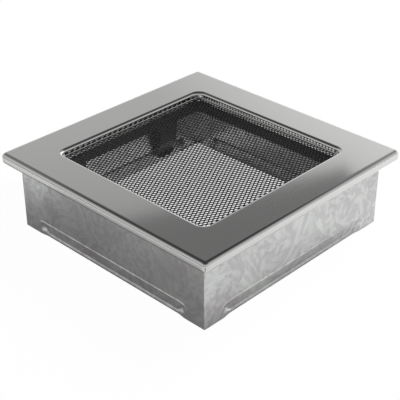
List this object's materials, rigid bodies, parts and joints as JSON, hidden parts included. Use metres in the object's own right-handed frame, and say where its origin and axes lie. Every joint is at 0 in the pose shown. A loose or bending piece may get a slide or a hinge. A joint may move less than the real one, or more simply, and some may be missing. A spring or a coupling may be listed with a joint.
{
  "type": "ventilation grille with wall sleeve",
  "caption": "Square ventilation grille: a stainless frame with an expanded-metal screen that plugs by spring legs into a galvanised wall sleeve.",
  "frame": {"origin": "centre of the sleeve's open rim, on the surface the part stands on", "axes": "+Z along the air path, out of the grille's face; the legs sit on the +Y and -Y sides"},
  "size_m": [0.17, 0.17, 0.0504],
  "materials": {
    "stainless_frame": "finely ground and polished stainless sheet",
    "screen_steel": "dull grey expanded steel",
    "black_paint": "satin black paint",
    "spring_steel": "blackened spring strip",
    "rivet_steel": "blackened steel rivets",
    "galvanised_steel": "hot-dip galvanised sheet with spangle"
  },
  "bodies": {
    "sleeve": {"sleeve": "galvanised_steel"},
    "grille": {"front_frame": "stainless_frame", "mesh_panel": "screen_steel", "inner_ring": "black_paint", "spring_leg_1": "spring_steel", "spring_leg_2": "spring_steel", "spring_leg_3": "spring_steel", "spring_leg_4": "spring_steel", "leg_rivets": "rivet_steel"}
  },
  "joints": [
    {"name": "grille_pull", "type": "slide", "parent": "sleeve", "child": "grille", "axis": [0, 0, 1], "range_m": [0, 0.06]}
  ]
}
